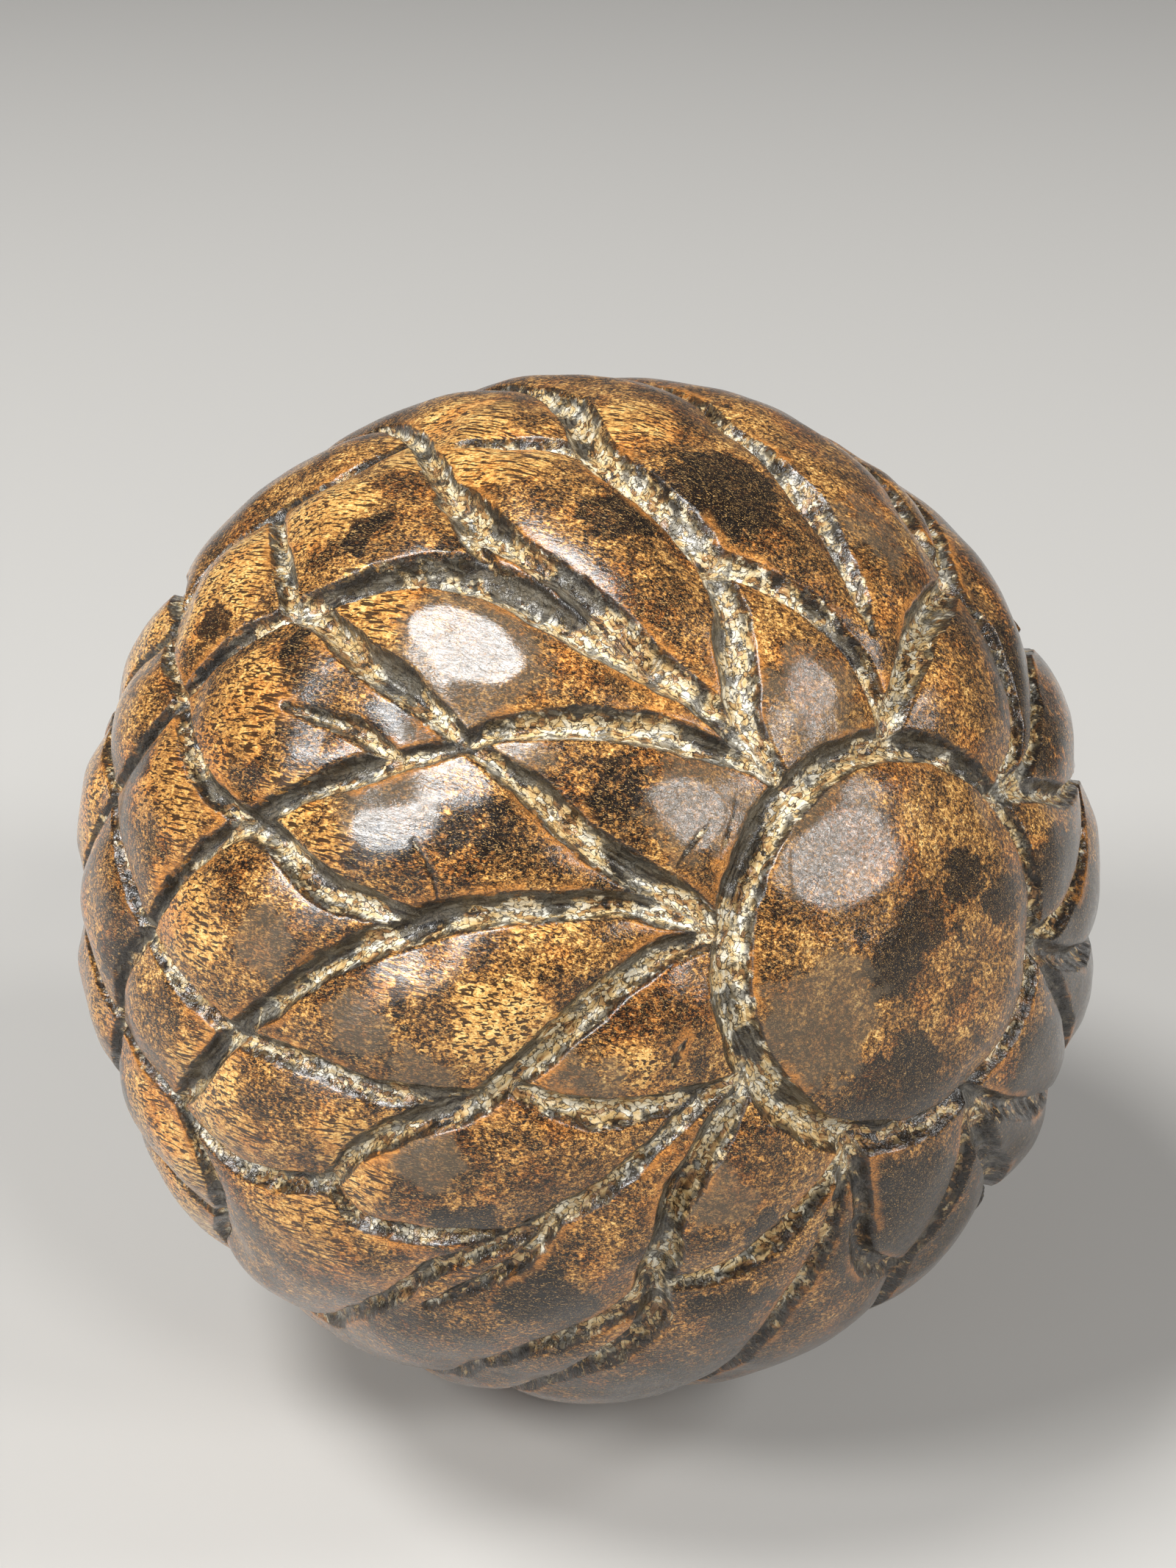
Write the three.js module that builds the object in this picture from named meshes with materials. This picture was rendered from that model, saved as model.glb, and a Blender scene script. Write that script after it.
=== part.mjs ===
// Carved wooden croquet ball. Millimetres, +Z up, origin at the centre of the ball.
// The ball is one turned block of wood. A round boss faces front-right, a second one faces away
// from it, and gouged grooves divide everything between them into pointed, overlapping petals.
import * as THREE from 'three';
import { ConvexHull } from 'three/addons/math/ConvexHull.js';

// Driving dimensions.
const BALL_DIAMETER = 92;
const DEPTH_PER_WIDTH = 0.62;
const PETAL_DOME = 0.95;
const PETAL_DOME_REACH = 5.5;

// Where the centre of the front boss points, in degrees.
const BOSS_AZIMUTH = 35;
const BOSS_ELEVATION = 19;

// Spacing of the mesh, in millimetres.
const GROOVE_STEP = 2.1;
const PETAL_STEP = 3.5;
const CLOSEST_IN_GROOVE = 1.0;
const CLOSEST_ON_EDGE = 0.62;
const CLOSEST_ON_PETAL = 1.9;

// A place on the ball is [bearing, distance], in degrees. Distance is measured from the centre of
// the front boss. Bearing turns counter-clockwise round the boss, seen from outside, from the top.
// Junctions on the edge of the boss.
const RIM_TOP = [-14, 21];
const RIM_TOP_LEFT = [25, 21.5];
const RIM_LEFT = [71, 20.5];
const RIM_LOW_LEFT = [113, 20.5];
const RIM_BOTTOM = [157, 21];
const RIM_LOW_RIGHT = [-157, 21];
const RIM_RIGHT = [-107, 20.5];
const RIM_TOP_RIGHT = [-60, 20.5];

// Tips of the first ring of petals.
const TIP_A = [6, 43.5];
const TIP_B = [50, 48.5];
const TIP_C = [97, 45];
const TIP_D = [138.5, 43.7];

// The same tips on the other half of the ring.
const TIP_E = [-174, 43.5];
const TIP_F = [-130, 48.5];
const TIP_G = [-83, 45];
const TIP_H = [-41.5, 44];

// Junctions farther out.
const NODE_A = [6, 61.3];
const NODE_B = [22, 67.5];
const NODE_C = [15.5, 81.5];
const NODE_D = [29.5, 91];
const NODE_E = [42, 74.5];
const NODE_F = [64.5, 69.5];
const NODE_G = [53.5, 85.5];
const NODE_H = [77.5, 84];
const NODE_J = [64.5, 96];
const NODE_K = [87, 71];
const NODE_L = [96, 84];
const NODE_M = [46, 96];
const NODE_N = [105, 65];

// Each groove is its width in millimetres at its start, middle and end, then its centre line.
const RING_DISTANCE = 19.6;
const RING_WIDTH = 3.0;
const RING_POINTS = 24;

// Grooves of the first ring of petals, each one different round the boss.
const INNER_GROOVES = [
  { widths: [1.8, 2.6, 2.8], line: [RIM_TOP, [-10, 28.5], [-2.5, 36.5], TIP_A] },
  { widths: [3.0, 3.2, 1.8], line: [TIP_A, [8.6, 38.7], [16, 31.7], [21, 28], RIM_TOP_LEFT] },
  { widths: [3.0, 2.4, 1.6], line: [[26.5, 37.3], [25.5, 31], RIM_TOP_LEFT] },
  { widths: [1.8, 3.0, 1.8], line: [RIM_TOP_LEFT, [32, 28.7], [38.5, 36.7], [46, 45.7], TIP_B] },
  { widths: [1.6, 3.0, 2.4], line: [TIP_B, [52, 41.5], [58, 33.5], [64.5, 24], RIM_LEFT] },
  { widths: [2.0, 2.4, 2.8], line: [RIM_LEFT, [66.8, 28.5], [68.5, 35], [71.5, 45], [74, 50]] },
  { widths: [2.4, 2.8, 2.2], line: [RIM_LEFT, [77, 27], [86, 33.5], [92, 38.8], TIP_C] },
  { widths: [1.6, 2.4, 1.8], line: [RIM_LOW_LEFT, [108.7, 27.3], [104, 34.7], [97, 41]] },
  { widths: [1.4, 1.6, 1.6], line: [[110.5, 25.5], [112.3, 28], [113.7, 29.8]] },
  { widths: [1.6, 3.2, 3.2], line: [RIM_LOW_LEFT, [121, 27.2], [128, 34.5], TIP_D] },
  { widths: [2.4, 2.8, 2.0], line: [RIM_BOTTOM, [149.5, 31.7], [145.5, 38], TIP_D] },
  { widths: [1.6, 2.2, 2.2], line: [RIM_BOTTOM, [161, 31], [162, 42], [164, 54], [166, 62]] },
  { widths: [1.6, 2.4, 2.2], line: [RIM_BOTTOM, [167, 28], [173, 36], TIP_E] },
  { widths: [0.8, 3.4, 3.0], line: [[-15, 31], [-16.2, 38], [-15.5, 48], [-14, 62]] },
  { widths: [2.2, 3.6, 2.8], line: [RIM_TOP, [-22, 27], [-31, 34.6], TIP_H] },
  { widths: [1.6, 2.4, 2.0], line: [RIM_TOP_RIGHT, [-60, 28], [-54, 34], TIP_H] },
  { widths: [1.6, 2.0, 1.6], line: [RIM_TOP_RIGHT, [-65, 25], [-66.3, 29.8]] },
  { widths: [1.8, 2.4, 1.8], line: [RIM_TOP_RIGHT, [-70, 26], [-80, 34], TIP_G] },
  { widths: [1.8, 2.6, 2.0], line: [RIM_RIGHT, [-102, 27], [-93, 35], TIP_G] },
  { widths: [1.8, 2.4, 2.8], line: [RIM_RIGHT, [-112, 27], [-111, 38], [-106, 50]] },
  { widths: [1.8, 2.6, 1.6], line: [RIM_RIGHT, [-117, 26], [-125, 37], TIP_F] },
  { widths: [1.8, 2.8, 1.8], line: [RIM_LOW_RIGHT, [-148, 28.5], [-138, 39.7], TIP_F] },
  { widths: [1.6, 2.4, 3.0], line: [RIM_LOW_RIGHT, [-156.5, 29], [-153.5, 37.3]] },
  { widths: [1.8, 3.0, 2.8], line: [RIM_LOW_RIGHT, [-165, 30], [-170, 38], TIP_E] },
];

// Grooves of the outer petals. They repeat after half a turn round the boss.
const OUTER_GROOVES = [
  { widths: [3.4, 3.4, 1.8], line: [TIP_A, [6.3, 52], NODE_A, [2.5, 70], [0, 80], [2, 102], [4, 110]] },
  { widths: [2.4, 2.2, 1.8], line: [TIP_D, [138.5, 50], [137, 60], [138, 70]] },
  { widths: [3.2, 2.8, 1.8], line: [TIP_D, [144, 48.5], [144.5, 58], [146, 68]] },
  { widths: [2.2, 1.8, 1.8], line: [[166, 62], [166, 76], [169, 90], [174, 104], [176, 112]] },
  { widths: [2.2, 2.4, 0.8], line: [NODE_A, [9, 66.5], [15.5, 73.5]] },
  { widths: [1.8, 2.2, 2.2], line: [NODE_C, [18.5, 75], NODE_B] },
  { widths: [3.4, 2.4, 2.8], line: [NODE_B, [24, 60], [24.4, 50], [26.5, 37.3]] },
  { widths: [1.2, 1.4, 1.2], line: [NODE_B, [25.5, 62.5], [28.8, 54]] },
  { widths: [2.6, 3.8, 3.0], line: [NODE_E, [34, 64], [29.5, 55.5], [29.3, 45.3], [26.5, 37.3]] },
  { widths: [1.8, 2.8, 2.0], line: [TIP_B, [46.5, 55], [44.5, 62.5], [42, 69], NODE_E] },
  { widths: [1.6, 1.6, 0.8], line: [[54, 54.5], [52.3, 60], [52, 68]] },
  { widths: [1.8, 2.0, 1.8], line: [TIP_B, [54.5, 54.5], [60, 62.5], NODE_F] },
  { widths: [2.2, 2.0, 1.8], line: [NODE_E, [37, 80], NODE_D] },
  { widths: [1.8, 2.0, 1.8], line: [NODE_D, [24, 83.5], NODE_C] },
  { widths: [1.8, 1.8, 1.8], line: [NODE_C, [13.5, 92], [17, 103], [23.3, 120.5]] },
  { widths: [1.8, 2.2, 2.2], line: [NODE_G, [48.5, 81.5], NODE_E] },
  { widths: [2.0, 1.8, 1.8], line: [NODE_F, [61, 77], NODE_G] },
  { widths: [2.0, 1.8, 1.8], line: [NODE_F, [70, 76.5], NODE_H] },
  { widths: [1.8, 2.0, 1.8], line: [NODE_G, [60, 90.5], NODE_J] },
  { widths: [1.8, 2.0, 1.8], line: [NODE_G, [49.5, 91.5], NODE_M] },
  { widths: [1.8, 2.0, 1.8], line: [NODE_D, [37, 97], NODE_M] },
  { widths: [1.8, 2.0, 1.8], line: [NODE_H, [81.5, 79], NODE_K] },
  { widths: [2.8, 2.2, 1.8], line: [[74, 50], [78, 57.3], [82, 63], NODE_K, [92, 77.5], NODE_L] },
  { widths: [2.0, 2.8, 2.2], line: [[72.8, 49.5], [70, 58.5], [66, 65], NODE_F] },
  { widths: [1.8, 2.2, 2.0], line: [NODE_K, [90, 62], [94, 54], TIP_C] },
  { widths: [2.4, 2.4, 1.8], line: [TIP_C, [98.5, 52.7], [101, 59.5], NODE_N] },
  { widths: [1.8, 2.4, 1.8], line: [NODE_N, [103, 74.5], [99, 81], NODE_L] },
  { widths: [2.0, 2.2, 1.6], line: [NODE_N, [110.5, 62.5], [117.5, 49]] },
  { widths: [1.6, 2.0, 1.8], line: [[113.7, 29.8], [117, 38.5], [118, 47], [118.7, 59.5]] },
  { widths: [1.4, 1.6, 1.0], line: [[117.8, 43.3], [122, 51], [124, 64]] },
];

// This groove lies across the half-turn axis, so it needs no copy on the far side.
const WAIST_GROOVE = { widths: [1.8, 2.0, 1.8], line: [NODE_H, [71, 90], NODE_J] };

// The far side repeats the near side, turned half a turn about an axis at this bearing.
const FAR_TURN_BEARING = 71;

const CURVE_STEPS = 10;
const radius = BALL_DIAMETER / 2;
const toRadians = THREE.MathUtils.degToRad;

function bossFrame() {
  const azimuth = toRadians(BOSS_AZIMUTH);
  const elevation = toRadians(BOSS_ELEVATION);
  const out = new THREE.Vector3(
    Math.sin(azimuth) * Math.cos(elevation),
    -Math.cos(azimuth) * Math.cos(elevation),
    Math.sin(elevation),
  );
  const up = new THREE.Vector3(0, 0, 1).addScaledVector(out, -out.z).normalize();
  const side = new THREE.Vector3().crossVectors(out, up);
  return { out, up, side };
}

const boss = bossFrame();

// Unit direction of a place given as bearing and distance.
function direction([bearing, distance]) {
  const turn = toRadians(bearing);
  const lean = toRadians(distance);
  return new THREE.Vector3()
    .addScaledVector(boss.out, Math.cos(lean))
    .addScaledVector(boss.up, Math.sin(lean) * Math.cos(turn))
    .addScaledVector(boss.side, Math.sin(lean) * Math.sin(turn));
}

function turned(groove) {
  const line = groove.line.map(([bearing, distance]) => [bearing - 180, distance]);
  return { widths: groove.widths, line };
}

function farSide(groove) {
  const line = groove.line.map(([bearing, distance]) => [
    2 * FAR_TURN_BEARING - bearing,
    180 - distance,
  ]);
  return { widths: groove.widths, line };
}

function ringGroove() {
  const line = [];
  for (let i = 0; i <= RING_POINTS; i += 1) {
    line.push([(360 * i) / RING_POINTS, RING_DISTANCE]);
  }
  return { widths: [RING_WIDTH, RING_WIDTH, RING_WIDTH], line };
}

function allGrooves() {
  const outer = OUTER_GROOVES.flatMap((groove) => [groove, turned(groove)]);
  const near = [ringGroove(), ...INNER_GROOVES, ...outer];
  const far = near.map(farSide);
  return [...near, ...far, WAIST_GROOVE, turned(WAIST_GROOVE)];
}

// Width of a groove at a share of its length, from its three given widths.
function widthAt(widths, share) {
  const [start, middle, end] = widths;
  if (share < 0.5) {
    return THREE.MathUtils.lerp(start, middle, share * 2);
  }
  return THREE.MathUtils.lerp(middle, end, share * 2 - 1);
}

// Smooth curve on the unit ball through the points of a groove, as evenly spaced stations.
function stations(groove) {
  const points = groove.line.map(direction);
  const curve = new THREE.CatmullRomCurve3(points, false, 'catmullrom', 0.5);
  curve.arcLengthDivisions = CURVE_STEPS * points.length;
  const steps = Math.max(2, Math.round((curve.getLength() * radius) / GROOVE_STEP));
  const found = [];
  for (let i = 0; i <= steps; i += 1) {
    const at = curve.getPointAt(i / steps).normalize();
    found.push({ at, width: widthAt(groove.widths, i / steps) });
  }
  return found;
}

// Distance from a place on the ball to a groove, and the groove's width there, in millimetres.
function nearestOnGroove(place, line) {
  let distance = Infinity;
  let width = 0;
  for (let i = 1; i < line.length; i += 1) {
    const from = line[i - 1];
    const to = line[i];
    const along = to.at.clone().sub(from.at);
    const offset = place.clone().sub(from.at);
    const share = THREE.MathUtils.clamp(offset.dot(along) / along.lengthSq(), 0, 1);
    const gap = offset.addScaledVector(along, -share).length() * radius;
    if (gap < distance) {
      distance = gap;
      width = THREE.MathUtils.lerp(from.width, to.width, share);
    }
  }
  return { distance, width };
}

// How far the carved surface lies inside the full ball at a place.
function carvedDepth(place, lines) {
  let flat = 1;
  let cut = 0;
  for (const line of lines) {
    const reach = place.distanceTo(line.centre) * radius;
    if (reach < line.reach + PETAL_DOME_REACH) {
      const { distance, width } = nearestOnGroove(place, line.points);
      const dome = Math.max(0, 1 - distance / PETAL_DOME_REACH);
      flat *= 1 - dome * dome * Math.min(1, width / 2);
      const wall = Math.max(0, 1 - distance / (width / 2));
      cut += (wall * width * DEPTH_PER_WIDTH) ** 4;
    }
  }
  return PETAL_DOME * (1 - flat) + cut ** 0.25;
}

function bounded(points) {
  const centre = new THREE.Vector3();
  for (const { at } of points) {
    centre.addScaledVector(at, 1 / points.length);
  }
  const reach = Math.max(...points.map(({ at }) => at.distanceTo(centre))) * radius;
  return { points, centre, reach };
}

// Points of the mesh: groove bottoms first, then groove edges, then the petals between them.
function meshPoints(lines) {
  const kept = [];
  const farFromKept = (place, gap) => {
    const limit = (gap / radius) ** 2;
    return kept.every((other) => other.distanceToSquared(place) > limit);
  };
  const insideGroove = (place, share) =>
    lines.some((line) => {
      if (place.distanceTo(line.centre) * radius > line.reach + RING_WIDTH) {
        return false;
      }
      const { distance, width } = nearestOnGroove(place, line.points);
      return distance < (width / 2) * share;
    });
  const offer = (place, gap) => {
    if (farFromKept(place, gap)) {
      kept.push(place);
    }
  };
  for (const line of lines) {
    line.points.forEach(({ at }) => offer(at, CLOSEST_IN_GROOVE));
  }
  for (const line of lines) {
    line.points.forEach(({ at, width }, i) => {
      const before = line.points[Math.max(i - 1, 0)].at;
      const after = line.points[Math.min(i + 1, line.points.length - 1)].at;
      const across = after.clone().sub(before).cross(at).normalize();
      for (const sign of [-1, 1]) {
        const edge = at.clone().addScaledVector(across, (sign * width) / 2 / radius).normalize();
        if (!insideGroove(edge, 0.85)) {
          offer(edge, CLOSEST_ON_EDGE);
        }
      }
    });
  }
  const count = Math.round((4 * Math.PI * radius ** 2) / PETAL_STEP ** 2);
  const goldenTurn = Math.PI * (3 - Math.sqrt(5));
  for (let i = 0; i < count; i += 1) {
    const height = 1 - (2 * i + 1) / count;
    const round = Math.sqrt(1 - height * height);
    const turn = goldenTurn * i;
    const place = new THREE.Vector3(round * Math.cos(turn), round * Math.sin(turn), height);
    if (!insideGroove(place, 1.1)) {
      offer(place, CLOSEST_ON_PETAL);
    }
  }
  return kept;
}

function carvedBallGeometry() {
  const lines = allGrooves().map((groove) => bounded(stations(groove)));
  const places = meshPoints(lines);
  const number = new Map(places.map((place, i) => [place, i]));
  const hull = new ConvexHull().setFromPoints(places);
  const index = [];
  for (const face of hull.faces) {
    let edge = face.edge;
    do {
      index.push(number.get(edge.head().point));
      edge = edge.next;
    } while (edge !== face.edge);
  }
  const positions = [];
  for (const place of places) {
    const reach = radius - carvedDepth(place, lines);
    positions.push(place.x * reach, place.y * reach, place.z * reach);
  }
  const geometry = new THREE.BufferGeometry();
  geometry.setAttribute('position', new THREE.Float32BufferAttribute(positions, 3));
  geometry.setIndex(index);
  geometry.computeVertexNormals();
  return geometry;
}

const stainedWood = new THREE.MeshStandardMaterial({
  color: 0x8a5a2c,
  roughness: 0.42,
  metalness: 0,
});

const carvedBall = new THREE.Mesh(carvedBallGeometry(), stainedWood);
carvedBall.name = 'carved_ball';

const croquetBall = new THREE.Group();
croquetBall.name = 'carved_croquet_ball';
croquetBall.add(carvedBall);

export default croquetBall;
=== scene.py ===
import math

import bmesh
import bpy
import numpy as np
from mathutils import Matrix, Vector


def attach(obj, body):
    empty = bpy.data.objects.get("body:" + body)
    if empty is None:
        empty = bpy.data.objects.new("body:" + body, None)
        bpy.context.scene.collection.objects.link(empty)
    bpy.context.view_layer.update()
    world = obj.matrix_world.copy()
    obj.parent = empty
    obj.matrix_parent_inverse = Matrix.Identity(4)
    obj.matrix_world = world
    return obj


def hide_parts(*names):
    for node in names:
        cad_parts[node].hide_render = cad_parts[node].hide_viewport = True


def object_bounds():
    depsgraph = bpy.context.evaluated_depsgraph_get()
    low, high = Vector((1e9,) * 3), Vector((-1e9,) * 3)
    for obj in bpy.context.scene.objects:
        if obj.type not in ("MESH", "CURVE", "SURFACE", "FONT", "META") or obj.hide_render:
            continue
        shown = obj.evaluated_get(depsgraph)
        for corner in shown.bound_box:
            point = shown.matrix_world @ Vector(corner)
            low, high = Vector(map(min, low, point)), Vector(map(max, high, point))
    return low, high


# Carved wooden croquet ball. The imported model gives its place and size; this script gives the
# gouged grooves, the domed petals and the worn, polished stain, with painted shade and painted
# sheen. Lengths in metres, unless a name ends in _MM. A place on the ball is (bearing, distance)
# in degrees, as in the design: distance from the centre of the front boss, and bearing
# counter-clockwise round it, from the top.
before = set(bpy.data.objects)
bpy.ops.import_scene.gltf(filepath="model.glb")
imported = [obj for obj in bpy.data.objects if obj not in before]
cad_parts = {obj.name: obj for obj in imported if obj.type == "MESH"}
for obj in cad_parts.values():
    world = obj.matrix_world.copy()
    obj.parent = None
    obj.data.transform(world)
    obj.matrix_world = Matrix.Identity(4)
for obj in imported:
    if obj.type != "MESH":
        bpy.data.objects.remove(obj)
cad_low, cad_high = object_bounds()

MM = 0.001
RADIUS_MM = 46.0
BOSS_AZIMUTH = 35
BOSS_ELEVATION = 19
SUBDIVISIONS = 8

# Grooves: depth as a share of width, and the shape of the lips and of the petals between them.
GOUGE_DEPTH = 0.46
GOUGE_ROUNDNESS = 2.8
LIP_ROUND_MM = 0.07
DOME_MM = 1.05
DOME_REACH_MM = 5.5

# The petals lie this far inside the full sphere.
SKIN_MM = 0.1

# Where grooves cross, their depths are added as this power, so that the floors join smoothly.
JOIN_POWER = 4

# Outside the lips the curve of a floor rises no higher than this. Inside them, marks on the floor
# fade in over this distance, and each groove takes its marks from this much farther on.
OUTSIDE_FLOOR_MM = -2.0
INSIDE_LIP_MM = 0.4
MARKS_APART = 7.0

# Wood that no groove is near counts as this far from an edge. A groove is worked out as far as
# the domes reach, and this margin beyond.
OPEN_WOOD_MM = 20.0
MARGIN_MM = 2

# Stations along a groove: their spacing, and the steps that each smooth span is cut into.
STATION_MM = 0.8
STEPS_PER_SPAN = 12

# Hairlines taper to this width. Lines narrower than the second width don't dome the wood.
HAIRLINE_END_MM = 0.1
DOMING_WIDTH_MM = 0.6

# Polished patches are worn flat over this share of their radius.
FLAT_SHARE = 0.9
FLAT_BLEND_MM = 0.03

# Unevenness, as layers of noise: strength, size of its features in millimetres, and seed. The
# strengths are millimetres, or shares of a groove's depth or width. Each kind of patch has its
# own run of seeds, and the seeds of its edge are added to the first of them.
LINE_WAVER = [(0.20, 2.4, 1), (0.11, 0.9, 2)]
DEPTH_UNEVEN = [(0.22, 2.0, 3)]
WIDTH_UNEVEN = [(0.20, 4.5, 10)]
FACETS = [(0.22, 7, 6), (0.08, 3, 7)]
FLOOR_CRUMBLE = [(0.12, 0.8, 5)]
POLISH_RIPPLE = [(0.03, 1.6, 8), (0.05, 3.6, 9)]
PATCH_EDGE = [(1.3, 2.2, 0), (0.5, 0.9, 3)]
SEEDS_PER_PATCH = 20

# Marks of the gouge along each groove: height, radians for every millimetre, and how the noise
# shifts them, in radians.
CHATTER_MM = 0.07
CHATTER_TURN = 2.6
CHATTER_DRIFT = [(1.5, 3, 4)]

# Junctions on the edge of the boss.
RIM_TOP = (-14, 21)
RIM_TOP_LEFT = (25, 21.5)
RIM_LEFT = (71, 20.5)
RIM_LOW_LEFT = (113, 20.5)
RIM_BOTTOM = (157, 21)
RIM_LOW_RIGHT = (-157, 21)
RIM_RIGHT = (-107, 20.5)
RIM_TOP_RIGHT = (-60, 20.5)

# Tips of the first ring of petals.
TIP_A = (6, 43.5)
TIP_B = (50, 48.5)
TIP_C = (97, 45)
TIP_D = (138.5, 43.7)
TIP_E = (-174, 43.5)
TIP_F = (-130, 48.5)
TIP_G = (-83, 45)
TIP_H = (-41.5, 44)

# Junctions farther out.
NODE_A = (6, 61.3)
NODE_B = (22, 67.5)
NODE_C = (15.5, 81.5)
NODE_D = (29.5, 91)
NODE_E = (42, 74.5)
NODE_F = (64.5, 69.5)
NODE_G = (53.5, 85.5)
NODE_H = (77.5, 84)
NODE_J = (64.5, 96)
NODE_K = (87, 71)
NODE_L = (96, 84)
NODE_M = (46, 96)
NODE_N = (105, 65)

# Each groove is its width in millimetres at its start, middle and end, then its centre line.
RING_DISTANCE = 19.6
RING_WIDTHS = (2.1, 3.5, 2.1)
RING_START = -90
RING_POINTS = 24

INNER_GROOVES = [
    ((1.8, 2.6, 2.8), (RIM_TOP, (-10, 28.5), (-2.5, 36.5), TIP_A)),
    ((3.0, 3.2, 1.8), (TIP_A, (8.6, 38.7), (16, 31.7), (21, 28), RIM_TOP_LEFT)),
    ((3.0, 2.4, 1.6), ((26.5, 37.3), (25.5, 31), RIM_TOP_LEFT)),
    ((1.8, 3.0, 1.8), (RIM_TOP_LEFT, (32, 28.7), (38.5, 36.7), (46, 45.7), TIP_B)),
    ((1.6, 3.0, 2.4), (TIP_B, (52, 41.5), (58, 33.5), (64.5, 24), RIM_LEFT)),
    ((2.0, 2.4, 2.8), (RIM_LEFT, (66.8, 28.5), (68.5, 35), (71.5, 45), (74, 50))),
    ((2.4, 2.8, 2.2), (RIM_LEFT, (77, 27), (86, 33.5), (92, 38.8), TIP_C)),
    ((1.6, 2.4, 1.8), (RIM_LOW_LEFT, (108.7, 27.3), (104, 34.7), (97, 41))),
    ((1.4, 1.6, 1.6), ((110.5, 25.5), (112.3, 28), (113.7, 29.8))),
    ((1.6, 3.2, 3.2), (RIM_LOW_LEFT, (121, 27.2), (128, 34.5), TIP_D)),
    ((2.4, 2.8, 2.0), (RIM_BOTTOM, (149.5, 31.7), (145.5, 38), TIP_D)),
    ((1.6, 2.2, 2.2), (RIM_BOTTOM, (161, 31), (162, 42), (164, 54), (166, 62))),
    ((1.6, 2.4, 2.2), (RIM_BOTTOM, (167, 28), (173, 36), TIP_E)),
    ((0.8, 3.4, 3.0), ((-15, 31), (-16.2, 38), (-15.5, 48), (-14, 62))),
    ((2.2, 3.6, 2.8), (RIM_TOP, (-22, 27), (-31, 34.6), TIP_H)),
    ((1.6, 2.4, 2.0), (RIM_TOP_RIGHT, (-60, 28), (-54, 34), TIP_H)),
    ((1.6, 2.0, 1.6), (RIM_TOP_RIGHT, (-65, 25), (-66.3, 29.8))),
    ((1.8, 2.4, 1.8), (RIM_TOP_RIGHT, (-70, 26), (-80, 34), TIP_G)),
    ((1.8, 2.6, 2.0), (RIM_RIGHT, (-102, 27), (-93, 35), TIP_G)),
    ((1.8, 2.4, 2.8), (RIM_RIGHT, (-112, 27), (-111, 38), (-106, 50))),
    ((1.8, 2.6, 1.6), (RIM_RIGHT, (-117, 26), (-125, 37), TIP_F)),
    ((1.8, 2.8, 1.8), (RIM_LOW_RIGHT, (-148, 28.5), (-138, 39.7), TIP_F)),
    ((1.6, 2.4, 3.0), (RIM_LOW_RIGHT, (-156.5, 29), (-153.5, 37.3))),
    ((1.8, 3.0, 2.8), (RIM_LOW_RIGHT, (-165, 30), (-170, 38), TIP_E)),
]

# Grooves of the outer petals. They repeat after half a turn round the boss.
OUTER_GROOVES = [
    ((3.4, 3.4, 1.8), (TIP_A, (6.3, 52), NODE_A, (2.5, 70), (0, 80), (2, 102), (4, 110))),
    ((2.4, 2.2, 1.8), (TIP_D, (138.5, 50), (137, 60), (138, 70))),
    ((3.2, 2.8, 1.8), (TIP_D, (144, 48.5), (144.5, 58), (146, 68))),
    ((2.2, 1.8, 1.8), ((166, 62), (166, 76), (169, 90), (174, 104), (176, 112))),
    ((2.2, 2.4, 0.8), (NODE_A, (9, 66.5), (15.5, 73.5))),
    ((1.8, 2.2, 2.2), (NODE_C, (18.5, 75), NODE_B)),
    ((3.4, 2.4, 2.8), (NODE_B, (24, 60), (24.4, 50), (26.5, 37.3))),
    ((1.2, 1.4, 1.2), (NODE_B, (25.5, 62.5), (28.8, 54))),
    ((2.6, 3.8, 3.0), (NODE_E, (34, 64), (29.5, 55.5), (29.3, 45.3), (26.5, 37.3))),
    ((1.8, 2.8, 2.0), (TIP_B, (46.5, 55), (44.5, 62.5), (42, 69), NODE_E)),
    ((1.6, 1.6, 0.8), ((54, 54.5), (52.3, 60), (52, 68))),
    ((1.8, 2.0, 1.8), (TIP_B, (54.5, 54.5), (60, 62.5), NODE_F)),
    ((2.2, 2.0, 1.8), (NODE_E, (37, 80), NODE_D)),
    ((1.8, 2.0, 1.8), (NODE_D, (24, 83.5), NODE_C)),
    ((1.8, 1.8, 1.8), (NODE_C, (13.5, 92), (17, 103), (23.3, 120.5))),
    ((1.8, 2.2, 2.2), (NODE_G, (48.5, 81.5), NODE_E)),
    ((2.0, 1.8, 1.8), (NODE_F, (61, 77), NODE_G)),
    ((2.0, 1.8, 1.8), (NODE_F, (70, 76.5), NODE_H)),
    ((1.8, 2.0, 1.8), (NODE_G, (60, 90.5), NODE_J)),
    ((1.8, 2.0, 1.8), (NODE_G, (49.5, 91.5), NODE_M)),
    ((1.8, 2.0, 1.8), (NODE_D, (37, 97), NODE_M)),
    ((1.8, 2.0, 1.8), (NODE_H, (81.5, 79), NODE_K)),
    ((2.8, 2.2, 1.8), ((74, 50), (78, 57.3), (82, 63), NODE_K, (92, 77.5), NODE_L)),
    ((2.0, 2.8, 2.2), ((72.8, 49.5), (70, 58.5), (66, 65), NODE_F)),
    ((1.8, 2.2, 2.0), (NODE_K, (90, 62), (94, 54), TIP_C)),
    ((2.4, 2.4, 1.8), (TIP_C, (98.5, 52.7), (101, 59.5), NODE_N)),
    ((1.8, 2.4, 1.8), (NODE_N, (103, 74.5), (99, 81), NODE_L)),
    ((2.0, 2.2, 1.6), (NODE_N, (110.5, 62.5), (117.5, 49))),
    ((1.6, 2.0, 1.8), ((113.7, 29.8), (117, 38.5), (118, 47), (118.7, 59.5))),
    ((1.4, 1.6, 1.0), ((117.8, 43.3), (122, 51), (124, 64))),
]

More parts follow.
